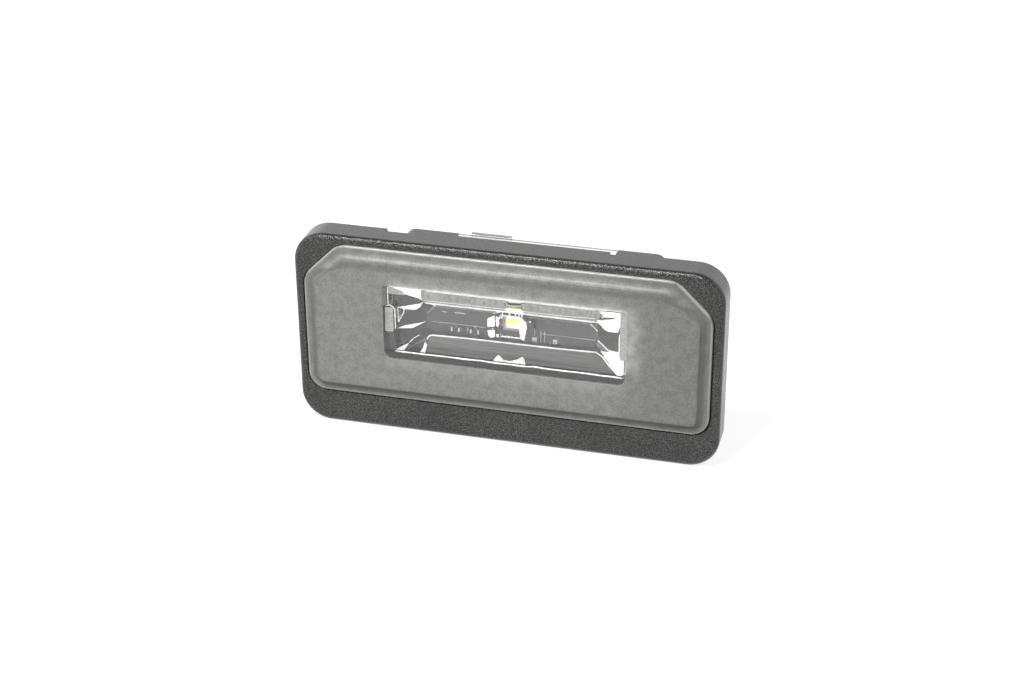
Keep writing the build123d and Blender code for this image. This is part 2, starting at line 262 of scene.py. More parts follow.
class LampSizes(bpy.types.PropertyGroup):
    """Sizes that the finishes share with the solids, and the widths and depths of their grain."""

    window_width: FloatProperty(
        name="Window width", description="Width of the polished window in the lens",
        unit="LENGTH", default=41.8 * MM)
    window_height: FloatProperty(
        name="Window height", description="Height of the polished window in the lens",
        unit="LENGTH", default=13.5 * MM)
    window_z: FloatProperty(
        name="Window centre", description="Height of the window's centre over the origin",
        unit="LENGTH", default=3.45 * MM)
    window_corner: FloatProperty(
        name="Window corner", description="Radius of the window's lower corners",
        unit="LENGTH", default=1.3 * MM)
    window_upper_corner: FloatProperty(
        name="Window upper corner", description="Radius of the window's upper corners",
        unit="LENGTH", default=0.2 * MM)
    window_growth: FloatProperty(
        name="Window growth", description="Reach of the polish beyond the window on the lens's rear",
        unit="LENGTH", default=0.9 * MM)
    lens_half_width: FloatProperty(
        name="Lens half width", description="Half the width of the lens", unit="LENGTH", default=35.2 * MM)
    lens_top: FloatProperty(
        name="Lens top", description="Height of the lens's top edge over the origin", unit="LENGTH",
        default=16.4 * MM)
    lens_bottom: FloatProperty(
        name="Lens bottom", description="Height of the lens's bottom edge over the origin", unit="LENGTH",
        default=-11.55 * MM)
    lens_chamfer: FloatProperty(
        name="Lens chamfer", description="Cut of the lens's top corners", unit="LENGTH", default=6.2 * MM)
    lens_corner: FloatProperty(
        name="Lens corner", description="Radius of the lens's bottom corners", unit="LENGTH",
        default=3.2 * MM)
    grain: FloatProperty(
        name="Grain", description="Width of the grain on the black moulding", unit="LENGTH",
        default=0.23 * MM)
    grain_depth: FloatProperty(
        name="Grain depth", description="Depth of the grain on the black moulding", unit="LENGTH",
        default=0.05 * MM)
    # The rim's paleness is a painted highlight
    rim_width: FloatProperty(
        name="Rim width", description="Width of the pale rim along the lens's edge", unit="LENGTH",
        default=0.5 * MM)
    frost_grain: FloatProperty(
        name="Frost grain", description="Width of the frosting's grain", unit="LENGTH", default=0.22 * MM)
    frost_depth: FloatProperty(
        name="Frost depth", description="Depth of the frosting's grain", unit="LENGTH", default=0.012 * MM)


class LampStage(bpy.types.PropertyGroup):
    """Camera and light."""

    azimuth: FloatProperty(
        name="Azimuth", description="Turn of the camera to the right of the front", subtype="ANGLE",
        default=math.radians(14.91))
    elevation: FloatProperty(
        name="Elevation", description="Height of the camera as an angle", subtype="ANGLE",
        default=math.radians(27.31))
    roll: FloatProperty(
        name="Roll", description="Turn of the camera about its view", subtype="ANGLE",
        default=math.radians(0.27))
    distance: FloatProperty(
        name="Distance", description="Distance of the camera from its aim", unit="LENGTH",
        default=342.9 * MM)
    aim: FloatVectorProperty(
        name="Aim", description="Point in the middle of the picture", subtype="TRANSLATION", size=3,
        default=(0.03 * MM, -0.29 * MM, -0.48 * MM))
    focal_length: FloatProperty(
        name="Focal length", description="Lens of the camera in millimetres", default=70.68)
    sensor_width: FloatProperty(
        name="Sensor width", description="Sensor of the camera in millimetres", default=36.0)
    sky: FloatProperty(
        name="Sky", description="Light of the surroundings behind", default=1.5)
    room: FloatProperty(
        name="Room", description="Light of the surroundings in front", default=0.55)
    zenith: FloatProperty(
        name="Zenith", description="Share of that light which is left straight above", default=0.2)
    key: FloatProperty(
        name="Key", description="Power of the soft lamp above, in watts", default=4.2)
    fill: FloatProperty(
        name="Fill", description="Power of the soft lamp in front, in watts", default=0.3)


class LAMP_OT_mouldings(bpy.types.Operator):
    """Give housing and cover their black plastic, with fine grain in front that is paler on its high spots,
    painted shade on the other sides and a painted sheen on the edge that turns down to the front
    """

    bl_idname = "lamp.mouldings"
    bl_label = "Black mouldings"

    def execute(self, context):
        colours = context.scene.lamp_colours
        sizes = context.scene.lamp_sizes
        finish = Finish("black_grained_plastic")
        pebbles = finish.cells(sizes.grain)
        fine = finish.noise(sizes.grain / 2, detail=3.0)
        cloud = finish.noise(9 * MM, detail=2.0)
        relief = finish.math("MULTIPLY_ADD", fine, 1.2, finish.times(pebbles, -1.0))
        peaks = finish.between(finish.math("MULTIPLY_ADD", cloud, 0.25, relief), 0.08, 0.67)
        grained = finish.vary(peaks, colours.moulding, low=0.15, high=2.9)
        # Full grain where the surface faces the front, a fifth of it on the other sides
        turned = finish.turned()
        front = finish.between(turned["Y"], -0.94, -0.45, 1.0, 0.2)
        relief = finish.times(relief, front)
        # Painted shade: the sides that don't face the front take a darker flat tone
        tone = finish.mix(front, shade(colours.moulding, 0.45), grained)
        # Painted sheen: the edge that turns down and to the front is paler, standing for the white floor's
        # reflection
        painted_floor_sheen = finish.times(finish.between(turned["Z"], -0.65, -0.1, 0.9, 0.0),
                                  finish.between(turned["Y"], -0.4, -0.1, 1.0, 0.0))
        paint(finish.dress({
            "Base Color": finish.mix(painted_floor_sheen, tone, shade(colours.moulding, 5.0)),
            "Roughness": finish.between(fine, 0.25, 0.8, 0.17, 0.33),
            "IOR": 1.5,
            "Normal": finish.bump(relief, sizes.grain_depth),
        }), "housing", "rear_cover")
        return {"FINISHED"}


class LAMP_OT_lens(bpy.types.Operator):
    """Give the lens its frosted plastic with the polished window, and paint light and shade into the frost"""

    bl_idname = "lamp.lens"
    bl_label = "Frosted lens"

    def execute(self, context):
        colours = context.scene.lamp_colours
        sizes = context.scene.lamp_sizes
        finish = Finish("frosted_clear_plastic")
        x, y, z = finish.axes()
        beside = finish.math("ABSOLUTE", x)
        window = self.window(finish, sizes, beside, y, z)
        frosted = finish.math("SUBTRACT", 1.0, window)
        out = self.outside(finish, sizes, beside, z)
        rim = finish.between(out, -sizes.rim_width, -0.12 * MM)
        grain = finish.noise(sizes.frost_grain, detail=3.0)
        cloud = finish.noise(1.6 * MM, detail=4.0)
        tone = finish.between(finish.math("MULTIPLY_ADD", cloud, 0.6, grain), 0.5, 1.05)
        frost = finish.vary(tone, colours.frost, low=0.66, high=1.26)
        # Painted shade: the frost darkens towards the right end
        right_end_shade = finish.between(x, 14 * MM, 30 * MM, 0.0, 0.2)
        frost = finish.mix(right_end_shade, frost, shade(colours.frost, 0.1))
        # Painted light: the frost is paler in a halo by the window, in patches
        patches = finish.between(cloud, 0.35, 0.65, 0.5, 1.1)
        halo = finish.times(self.halo(finish, sizes, beside, x, z), patches)
        frost = finish.mix(halo, frost, shade(colours.frost, 2.0))
        frost = finish.mix(self.cove(finish, sizes, out, z), frost, shade(colours.frost, 0.3))
        # Painted highlight: the frost is paler along the rim, where it is also less rough
        frost = finish.mix(rim, frost, shade(colours.frost, 1.7))
        relief = finish.times(grain, frosted)
        rough = finish.math("MULTIPLY_ADD", rim, -0.22, 0.46)
        paint(finish.dress({
            "Base Color": finish.mix(window, frost, WHITE),
            "Roughness": finish.math("MULTIPLY_ADD", frosted, rough, 0.02),
            "Transmission Weight": finish.math("MULTIPLY_ADD", window, 0.45, 0.55),
            "IOR": 1.5,
            "Normal": finish.bump(relief, sizes.frost_depth),
        }), "lens")
        return {"FINISHED"}

    def window(self, finish, sizes, beside, y, z):
        """Share of polish: 1 in a rectangle with round corners, fading over its edge. The distance past the
        edge is that from a rectangle which is smaller by the corners' radius, less that radius. The rectangle
        grows from the middle of the plate to its rear."""
        middle, rear = -5.5 * MM, -4.2 * MM
        fade_from, fade_to = -0.15 * MM, 0.35 * MM
        grown = finish.between(y, middle, rear, 0.0, sizes.window_growth)
        corner = finish.between(z, sizes.window_z - MM, sizes.window_z + MM, sizes.window_corner,
                                sizes.window_upper_corner)
        off_z = finish.math("ABSOLUTE", finish.math("SUBTRACT", z, sizes.window_z))
        squares = []
        for off, span in ((beside, sizes.window_width), (off_z, sizes.window_height)):
            inside = finish.math("SUBTRACT", finish.math("ADD", grown, span / 2), corner)
            beyond = finish.math("MAXIMUM", finish.math("SUBTRACT", off, inside), 0.0)
            squares.append(finish.times(beyond, beyond))
        past = finish.math("SUBTRACT", finish.math("SQRT", finish.math("ADD", *squares)), corner)
        return finish.between(past, fade_from, fade_to, 1.0, 0.0)

    def halo(self, finish, sizes, beside, x, z):
        """Share of painted light in the frost beside the window, standing for light that the guide leads into
        it: over the window, right of it, and a little under it."""
        over_share, under_share, right_share = 0.55, 0.22, 0.5
        half = sizes.window_width / 2
        top = sizes.window_z + sizes.window_height / 2
        foot = sizes.window_z - sizes.window_height / 2
        within = finish.between(beside, half - 2 * MM, half + 1.5 * MM, 1.0, 0.0)
        over = finish.between(z, top, top + 2.0 * MM, over_share, 0.0)
        over = finish.times(over, finish.math("GREATER_THAN", z, top), within)
        under = finish.between(z, foot - 3.2 * MM, foot - 1.2 * MM, 0.0, under_share)
        under = finish.times(under, finish.math("LESS_THAN", z, foot), within)
        level = finish.times(finish.between(z, foot + 1 * MM, foot + 4 * MM),
                             finish.between(z, top - 1 * MM, top + 1.5 * MM, 1.0, 0.0))
        right = finish.between(x, half + 1.2 * MM, half + 3.4 * MM, right_share, 0.0)
        right = finish.times(right, finish.math("GREATER_THAN", x, half), level)
        return finish.math("ADD", finish.math("ADD", over, under), right)

    def cove(self, finish, sizes, out, z):
        """Share of shadow in the cove: a line inside the border, deeper in at the top than at the sides."""
        roof = finish.between(z, sizes.lens_top - 5 * MM, sizes.lens_top - 3.5 * MM)
        shift = finish.math("MULTIPLY_ADD", roof, 1.5 * MM, out)
        line = finish.times(finish.between(shift, -2.6 * MM, -1.5 * MM),
                            finish.between(shift, -1.3 * MM, -0.7 * MM, 1.0, 0.0))
        return finish.times(line, finish.math("MULTIPLY_ADD", roof, -0.1, 0.55))

    def outside(self, finish, sizes, beside, z):
        """Distance from the lens's outline, negative inside it: the largest of the distances from its top,
        its cut corners, and its sides and bottom with round corners. The last of these is the distance from a
        rectangle that is smaller by the radius, less that radius."""
        radius = sizes.lens_corner
        side = finish.math("SUBTRACT", beside, sizes.lens_half_width)
        roof = finish.math("SUBTRACT", z, sizes.lens_top)
        reach = sizes.lens_half_width + sizes.lens_top - sizes.lens_chamfer
        cut = finish.times(finish.math("SUBTRACT", finish.math("ADD", beside, z), reach), math.sqrt(0.5))
        across = finish.math("ADD", side, radius)
        down = finish.math("SUBTRACT", sizes.lens_bottom + radius, z)
        far_x = finish.math("MAXIMUM", across, 0.0)
        far_z = finish.math("MAXIMUM", down, 0.0)
        corner = finish.math("SQRT", finish.math("MULTIPLY_ADD", far_x, far_x, finish.times(far_z, far_z)))
        inner = finish.math("MINIMUM", finish.math("MAXIMUM", across, down), 0.0)
        bottom = finish.math("SUBTRACT", finish.math("ADD", corner, inner), radius)
        return finish.math("MAXIMUM", finish.math("MAXIMUM", roof, cut), bottom)


class LAMP_OT_light_guide(bpy.types.Operator):
    """Give the light guide its polished clear plastic"""

    bl_idname = "lamp.light_guide"
    bl_label = "Light guide"

    def execute(self, context):
        finish = Finish("polished_clear_plastic")
        ripple = finish.noise(2.5 * MM, detail=2.0)
        paint(finish.dress({
            "Base Color": (0.98, 0.985, 0.98, 1.0),
            "Roughness": 0.015,
            "Transmission Weight": 1.0,
            "IOR": 1.53,
            "Normal": finish.bump(ripple, 0.004 * MM),
        }), "light_guide")
        return {"FINISHED"}


class LAMP_OT_gleams(bpy.types.Operator):
    """Set glowing beads and plates in the light guide: painted highlights along its rounded edges and on its
    facets, painted pale glow, and plates of painted shade
    """

    bl_idname = "lamp.gleams"
    bl_label = "Edges and facets"

    # Depths in millimetres: on the guide's rear side, in the gap behind the lens, before the lip, in the cup
    REAR = None
    GAP, GAP_LINE, GAP_MIDDLE = -3.68, -3.65, -3.3
    LIP = -2.45
    CUP, CUP_FLOOR = 0.7, 0.75
    # Painted highlights: glowing beads along the guide's rounded edges
    # Radius, depth, then x and z along the edge, in millimetres
    EDGE_HIGHLIGHTS = (
        (0.05, REAR, -15.3, 5.62, -7.1, 5.78, 1.6, 5.72, 8.6, 5.72, 14.8, 5.98),
        (0.12, REAR, -15.3, 5.04, 0.0, 5.08, 14.7, 5.05),
        (0.13, REAR, -14.9, -1.9, -14.8, -1.4, -14.3, -1.1, -7.4, -1.0, 8.4, -0.95, 14.6, -0.85, 15.9, -1.3,
         17.5, -2.6, 19.0, -3.6),
        (0.11, GAP_LINE, -19.8, -2.78, -16.9, -2.79, -14.2, -2.83, -10.65, -2.74, -7.1, -2.85, -4.5, -2.72,
         -2.35, -2.83, 3.8, -2.79, 5.0, -2.66, 6.9, -2.76, 9.5, -2.8, 12.95, -2.74, 16.4, -2.84, 19.8, -2.78),
        (0.06, REAR, -17.95, -2.5, -17.15, -1.65, -16.2, -1.1),
        (0.07, REAR, -19.56, 4.46, -18.62, 4.4, -18.64, 3.43, -19.56, 1.59, -19.56, 4.46),
        (0.10, REAR, 15.0, 1.54, 16.95, 0.3, 18.8, 0.4),
        (0.09, REAR, 15.0, 5.6, 15.75, 4.1, 17.05, 3.85, 18.75, 4.3),
        (0.08, CUP, -1.3, 4.3, -1.3, 5.3),
        (0.11, CUP, -0.08, 4.4, -0.08, 5.4),
        (0.09, CUP, 0.97, 4.5, 0.97, 5.5),
        (0.08, CUP, 1.58, 4.6, 1.58, 5.6),
        (0.08, CUP, 2.1, 4.6, 2.1, 5.6),
        (0.12, GAP_LINE, -20.6, 9.35, -13.0, 9.52, 0.0, 9.45, 20.7, 9.57),
        (0.06, GAP_LINE, -20.55, 9.3, -20.55, 5.9),
        (0.08, GAP_MIDDLE, -19.5, 1.2, -19.5, 4.8, -19.78, 5.42, -20.45, 5.7, -21.1, 5.42),
        (0.11, GAP_MIDDLE, 19.5, 1.3, 19.5, 5.0),
    )
    # Painted highlights: glowing plates on the guide's facets
    # Depth, then x and z of the corners, in millimetres
    GLINT_PLATES = (
        (REAR, 15.0, 5.6, 15.75, 4.1, 17.05, 3.85, 18.75, 4.3, 19.45, 6.4, 19.8, 7.2),
        (LIP, -19.9, 8.66, -15.7, 9.0, -15.0, 8.56, -15.05, 7.14, -17.0, 7.48, -18.05, 7.82, -18.5, 8.3),
        (LIP, 15.95, 8.58, 19.65, 8.67, 19.65, 7.75, 16.65, 7.56),
        (REAR, -19.5, 4.45, -15.4, 5.0, -16.1, 4.2, -16.7, 3.75, -18.6, 4.0),
        (REAR, -19.7, 0.45, -18.5, 0.93, -16.3, 1.15, -15.1, 1.4, -17.4, 0.26),
        (REAR, -20.1, -3.6, -17.95, -2.5, -18.6, -3.6),
        (REAR, -15.2, -2.05, -14.75, -2.55, -14.85, -3.6, -15.75, -3.6, -15.35, -3.0),
        (REAR, -2.7, -3.6, -2.35, -3.05, -2.0, -2.75, -1.6, -2.9, -1.05, -3.3, -0.9, -3.6),
        (REAR, -1.0, -3.6, -1.05, -3.32, -0.3, -3.45, 0.7, -3.37, 1.5, -3.05, 1.5, -3.6),
        (REAR, 1.3, -3.6, 1.5, -3.05, 1.95, -2.75, 2.3, -2.65, 2.62, -2.95, 2.95, -3.6),
        (REAR, 15.5, -0.35, 16.8, -0.15, 17.7, 0.45, 18.8, 0.58, 19.8, -0.2, 20.0, -0.9, 20.0, -3.3,
         19.6, -3.6, 18.9, -3.6, 17.65, -2.55, 16.25, -1.2),
        (CUP, -4.0, 3.6, -3.7, 4.0, -2.7, 4.45, -2.65, 2.45, -3.95, 2.2),
        (CUP, -3.95, 1.6, -2.65, 1.75, -2.65, 0.45, -3.5, 0.22, -3.8, 0.67),
        (CUP, -2.45, 4.45, -1.95, 4.2, -1.85, 3.0, -2.1, 2.4, -2.4, 2.55),
        (CUP, -2.45, 1.05, -1.95, 1.1, -1.95, 0.5, -2.4, 0.46),
        (CUP, 1.65, 4.75, 2.1, 4.45, 2.8, 3.87, 2.9, 2.85, 2.7, 1.5, 2.45, 0.3, 1.9, 0.72, 1.65, 1.75,
         1.57, 3.25),
    )
    # Painted highlight: a glowing plate in warm white
    WARM_GLINT_PLATES = (
        (REAR, -0.88, 5.1, 2.18, 5.1, 2.1, 5.9, 1.8, 6.2, -0.3, 6.25, -0.8, 6.0),
    )
    # Painted light: plates with a pale glow
    PALE_GLOW_PLATES = (
        (LIP, -20.9, 8.68, -19.95, 8.64, -18.55, 8.28, -18.1, 7.8, -17.9, 7.5, -19.5, 7.45, -20.95, 7.5),
        (REAR, -15.3, 5.1, -0.9, 5.1, -0.9, 8.1, -16.4, 8.1),
        (REAR, 2.2, 5.1, 14.9, 5.1, 16.2, 8.1, 2.2, 8.1),
        (GAP, -21.1, 5.4, -19.65, 5.5, -19.7, 2.9, -21.1, 2.9),
        (GAP, 19.65, 9.4, 20.75, 9.4, 20.9, 0.5, 19.75, 0.5),
        (GAP, -21.1, 2.9, -19.7, 2.9, -19.65, 1.3, -19.95, 0.7, -20.45, 0.5, -20.95, 0.7, -21.2, 1.3),
    )
    # Painted shade: dark plates with the faintest glow
    SHADE_PLATES = (
        (REAR, 15.05, 5.3, 15.75, 4.0, 17.05, 3.75, 18.75, 4.2, 19.4, 4.4, 19.4, 0.55, 18.8, 0.5, 16.95, 0.4,
         15.05, 1.6),
        (CUP_FLOOR, 2.85, 4.2, 3.9, 3.7, 4.0, 2.0, 3.6, 0.5, 2.5, 0.1, 2.75, 1.5, 2.95, 2.85),
        (GAP, -21.4, 0.9, -20.0, 0.9, -19.5, 0.45, -19.38, -2.7, -21.5, -2.9),
        (GAP, -21.5, -2.95, 20.9, -2.95, 21.0, -4.4, -21.6, -4.4),
    )
    # Painted light: grey plates with a dim, streaked glow
    DIM_GLOW_PLATES = (
        (GAP, -21.4, 9.3, -20.7, 9.3, -20.8, 5.85, -21.5, 5.75),
        (REAR, -14.6, -1.3, 0.0, -1.2, 14.4, -1.1, 16.0, -1.7, 17.6, -3.0, 18.3, -3.5, -14.6, -3.5),
    )

    def execute(self, context):
        bright = self.gleam("bright_gleam", glow=1.0, level=0.9, speck=0.5 * MM, least=0.7)
        warm = self.gleam("warm_gleam", glow=0.95, level=0.9, speck=0.5 * MM, least=0.8,
                          white=(1.0, 1.0, 0.74, 1.0))
        pale = self.gleam("pale_gleam", glow=0.3, level=0.35, speck=0.22 * MM)
        shaded = self.gleam("shaded_gleam", glow=0.035, level=0.05, speck=0.22 * MM)
        dim = self.gleam("dim_gleam", glow=0.14, level=0.05, speck=0.3 * MM, stretch=0.03)
        put_surface("guide_edge_highlights", np.stack([self.bead(edge) for edge in self.EDGE_HIGHLIGHTS]), bright)
        for name, table, lift, gleam in (
            ("guide_glint_plates", self.GLINT_PLATES, 0.05, bright),
            ("guide_warm_glint_plates", self.WARM_GLINT_PLATES, 0.05, warm),
            ("guide_pale_glow_plates", self.PALE_GLOW_PLATES, 0.05, pale),
            ("guide_shade_plates", self.SHADE_PLATES, 0.05, shaded),
            ("guide_dim_glow_plates", self.DIM_GLOW_PLATES, 0.02, dim),
        ):
            plates = np.stack([self.plate(facet, lift) for facet in table])
            put_surface(name, plates, gleam)
        return {"FINISHED"}

    def gleam(self, name, glow, level, speck, stretch=0.4, least=0.5, white=(1.0, 1.0, 0.98, 1.0)):
        """Grey of a level that glows a little, on the side turned to the front: painted light standing for
        the light that the clear moulding leads to its edges. Specks vary the glow from its least share to all
        of it."""
        finish = Finish(name)
        streak = finish.noise(speck, detail=3.0, place=finish.stretched(stretch, 1.0, 1.0))
        return finish.dress({
            "Base Color": finish.vary(streak, white, low=0.6 * level, high=level),
            "Roughness": 0.35,
            "Emission Color": finish.vary(finish.between(streak, 0.35, 0.62), white, low=least, high=1.0),
            "Emission Strength": finish.between(finish.turned()["Y"], -0.3, 0.3, glow, 0.0),
        })

    def depth(self, x, z):
        """Depth of the guide's rear side at x and z in millimetres: the least of its flat rear and of its
        four slopes, which rise from the lip's rear."""
        flat, lip = 2.8, -1.2
        top, bottom, half_width = 8.35, -3.75, 20.3
        top_rise, bottom_rise, side_rise = 0.9615, 1.3636, 0.7143
        slopes = ((top - z) * top_rise, (z - bottom) * bottom_rise, (half_width - np.abs(x)) * side_rise)
        return np.minimum(flat, lip + np.minimum.reduce(slopes))

    def bead(self, edge):
        """Thin tube along a run of points. Along u from 0 to 1 it follows the run by its length, and round w
        it is a circle whose radius sinks to nothing at both ends as the eighth root of 1 less the eighth
        power of the place along."""
        steps, sides, lift = 81, 8, 0.05
        radius, depth = edge[:2]
        x, z = np.array(edge[2:]).reshape(-1, 2).T
        rear = self.depth(x, z) - radius - lift if depth is self.REAR else np.full(len(x), depth)
        run = np.column_stack([x, rear, z])
        place = np.concatenate([[0.0], np.cumsum(np.linalg.norm(np.diff(run, axis=0), axis=1))])
        u = np.linspace(0.0, 1.0, steps)
        line = np.column_stack([np.interp(u * place[-1], place, run[:, axis]) for axis in range(3)])
        along = np.gradient(line, axis=0)
        along /= np.linalg.norm(along, axis=1, keepdims=True)
        side = np.cross(along, [0.0, 1.0, 0.0])
        side /= np.linalg.norm(side, axis=1, keepdims=True)
        over = np.cross(along, side)
        w = np.linspace(0.0, 2 * math.pi, sides, endpoint=False)[None, :, None]
        size = radius * (1.0 - np.abs(2.0 * u - 1.0) ** 8)[:, None, None] ** 0.125
        return (line[:, None] + size * (np.cos(w) * side[:, None] + np.sin(w) * over[:, None])) * MM

    def plate(self, facet, lift):
        """Thin plate, a lift inside the guide's rear side or before its own depth, and as thick as that lift.
        Round w it runs through the corners, of which the last is repeated until all plates have as many.
        Along u it goes from the middle of its rear out to the corners, over its edge and in to the middle of
        its front."""
        most = 12
        depth = facet[0]
        corners = np.array(facet[1:]).reshape(-1, 2)
        ring = np.concatenate([corners, np.repeat(corners[-1:], most - len(corners), axis=0)])
        middle = np.tile(corners.mean(axis=0), (most, 1))
        flat = np.stack([middle, ring, ring, middle])
        x, z = flat[..., 0], flat[..., 1]
        rear = self.depth(x, z) if depth is self.REAR else np.full(x.shape, depth)
        rear = rear - lift * np.array([1.0, 1.0, 2.0, 2.0])[:, None]
        return np.stack([x, rear, z], -1) * MM


class LAMP_OT_board(bpy.types.Operator):
    """Give the board, the diode and the chip parts their finishes"""

    bl_idname = "lamp.board"
    bl_label = "Circuit board"

    def execute(self, context):
        colours = context.scene.lamp_colours
        self.dress_board(colours)
        self.dress_diode(colours)
        self.dress_chips(colours)
        return {"FINISHED"}

    def dress_board(self, colours):
        """Solder mask with a faint weave."""
        mask = Finish("black_solder_mask")
        weave = mask.noise(0.5 * MM, detail=3.0)
        paint(mask.dress({
            "Base Color": mask.vary(weave, colours.board, low=0.8, high=1.25),
            "Roughness": mask.rough(weave, low=0.28, high=0.42),
            "Normal": mask.bump(weave, 0.004 * MM),
        }), "circuit_board")

    def dress_diode(self, colours):
        """White package, and a field with a painted glow that goes from white at its foot to yellow."""
        package = Finish("white_package")
        speck = package.noise(0.25 * MM, detail=2.0)
        paint(package.dress({
            "Base Color": package.vary(speck, colours.package, low=0.95, high=1.0),
            "Roughness": 0.38,
        }), "led_package")
        phosphor = Finish("yellow_phosphor")
        grain = phosphor.noise(0.12 * MM, detail=2.0)
        low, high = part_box("led_phosphor")
        rise = phosphor.between(phosphor.axes()["Z"], low[2] + 0.3 * MM, high[2] - 0.5 * MM)
        yellow = phosphor.vary(grain, colours.phosphor, low=0.9, high=1.08)
        paint(phosphor.dress({
            "Base Color": phosphor.mix(rise, (0.9, 0.9, 0.82, 1.0), yellow),
            "Roughness": 0.35,
            # Painted glow: the field of the unlit diode glows
            "Emission Color": phosphor.mix(rise, (1.0, 0.99, 0.9, 1.0), (1.0, 0.98, 0.4, 1.0)),
            "Emission Strength": 0.7,
        }), "led_phosphor")

    def dress_chips(self, colours):
        """Black coating of resistors and diode, and ceramic of capacitors."""
        chip = Finish("black_chip_coating")
        speck = chip.noise(0.2 * MM, detail=2.0)
        paint(chip.dress({
            "Base Color": chip.vary(speck, colours.chip, low=0.8, high=1.4),
            "Roughness": chip.rough(speck, low=0.35, high=0.5),
        }), "load_resistors", "small_resistors", "protection_diode")
        ceramic = Finish("fired_ceramic")
        speck = ceramic.noise(0.2 * MM, detail=2.0)
        paint(ceramic.dress({
            "Base Color": ceramic.vary(speck, colours.ceramic, low=0.9, high=1.12),
            "Roughness": 0.45,
        }), "capacitors")


class LAMP_OT_tracks(bpy.types.Operator):
    """Lay the tinned tracks on the board's front"""

    bl_idname = "lamp.tracks"
    bl_label = "Tracks"

    def execute(self, context):
        colours = context.scene.lamp_colours
        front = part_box("circuit_board")[0][1]
        tin = Finish("dull_tin")
        speck = tin.noise(0.15 * MM, detail=3.0)
        tin.dress({
            "Base Color": tin.vary(speck, colours.tin, low=0.7, high=1.0),
            "Metallic": 1.0,
            "Roughness": tin.rough(speck, low=0.3, high=0.5),
        })
        # x and z of both ends, and width, in millimetres
        runs = np.array([
            (-14.8, 1.1, -4.6, 1.1, 0.14), (4.6, 1.1, 14.8, 1.1, 0.14),
            (-12.6, 3.25, -11.6, 3.25, 0.22), (-10.3, 3.3, -8.3, 3.3, 0.26),
            (-10.05, -0.4, -10.05, 0.8, 0.16), (-7.97, -0.46, -7.97, 0.7, 0.16), (-6.7, -0.8, -6.7, 1.4, 0.2),
            (3.8, 0.0, 3.8, 2.0, 0.2), (4.95, -0.7, 4.95, 1.7, 0.16), (5.6, -0.65, 5.6, 1.75, 0.16),
            (3.6, 3.0, 3.75, 3.0, 0.2), (6.5, -0.55, 6.65, -0.55, 0.25),
        ]) * MM
        put_surface("board_tracks", self.ribbons(runs, front, height=0.04 * MM), tin.material)
        return {"FINISHED"}

    def ribbons(self, runs, front, height):
        """Raised ribbons. Along u from 0 to 1 a ribbon goes from its first end to its second. Round w its
        section is a crown, height times 1 less the square of the place across, and back along the board. Its
        ends sink in as the eighth root of 1 less the eighth power of the place along."""
        steps, sides = 13, 9
        along = np.linspace(0.0, 1.0, steps)[None, :, None]
        over, back = np.linspace(-1.0, 1.0, sides), np.linspace(1.0, -1.0, sides)[1:-1]
        across = np.concatenate([over, back])[None, None, :]
        crown = np.concatenate([1.0 - over ** 2, np.zeros(len(back))])[None, None, :]
        first, last, width = np.split(runs[:, None, None], (2, 4), axis=-1)
        way = last - first
        side = np.stack([-way[..., 1], way[..., 0]], -1) / np.linalg.norm(way, axis=-1, keepdims=True)
        ends = (1.0 - np.clip(np.abs(2.0 * along - 1.0), 0.0, 1.0) ** 8) ** 0.125
        flat = first + along[..., None] * way + side * (across * ends)[..., None] * width / 2
        depth = np.broadcast_to(front - height * crown * ends, flat.shape[:3])
        return np.stack([flat[..., 0], depth, flat[..., 1]], -1)


class LAMP_OT_metal(bpy.types.Operator):
    """Give the spring its rolled sheet, pins, leads and end caps their tin, and the joints their solder"""

    bl_idname = "lamp.metal"
    bl_label = "Metal"

    def execute(self, context):
        colours = context.scene.lamp_colours
        self.dress_spring(colours)
        self.dress_plating(colours)
        self.dress_solder(colours)
        return {"FINISHED"}

    def dress_spring(self, colours):
        """Rolled sheet with streaks along it, with painted shade where it turns down at the rear."""
        steel = Finish("rolled_spring_steel")
        streak = steel.noise(0.4 * MM, detail=4.0, place=steel.stretched(0.06, 1.0, 1.0))
        sheet = steel.vary(streak, colours.steel, low=0.88, high=1.06)
        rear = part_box("retaining_spring")[1][1]
        # Painted shade: the sheet is darker where it turns down at its rear
        painted_bend_shade = steel.between(steel.axes()["Y"], rear - 1.25 * MM, rear - 1.05 * MM)
        paint(steel.dress({
            "Base Color": steel.mix(painted_bend_shade, sheet, shade(colours.steel, 0.4)),
            "Metallic": 1.0,
            "Roughness": steel.rough(streak, low=0.2, high=0.36),
            "Normal": steel.bump(streak, 0.004 * MM),
        }), "retaining_spring")

    def dress_plating(self, colours):
        """Bright tin with soft ripples."""
        tin = Finish("bright_tin")
        ripple = tin.noise(0.3 * MM, detail=2.0)
        paint(tin.dress({
            "Base Color": tin.vary(ripple, colours.tin, low=0.9, high=1.08),
            "Metallic": 1.0,
            "Roughness": tin.rough(ripple, low=0.18, high=0.32),
            "Normal": tin.bump(ripple, 0.006 * MM),
        }), "led_leads", "load_resistor_ends", "small_resistor_ends", "capacitor_ends", "diode_leads",
            "contact_pins")

    def dress_solder(self, colours):
        """Dull grey solder."""
        solder = Finish("dull_solder")
        ripple = solder.noise(0.2 * MM, detail=2.0)
        paint(solder.dress({
            "Base Color": solder.vary(ripple, colours.tin, low=0.12, high=0.35),
            "Metallic": 1.0,
            "Roughness": solder.rough(ripple, low=0.4, high=0.6),
        }), "solder_joints")


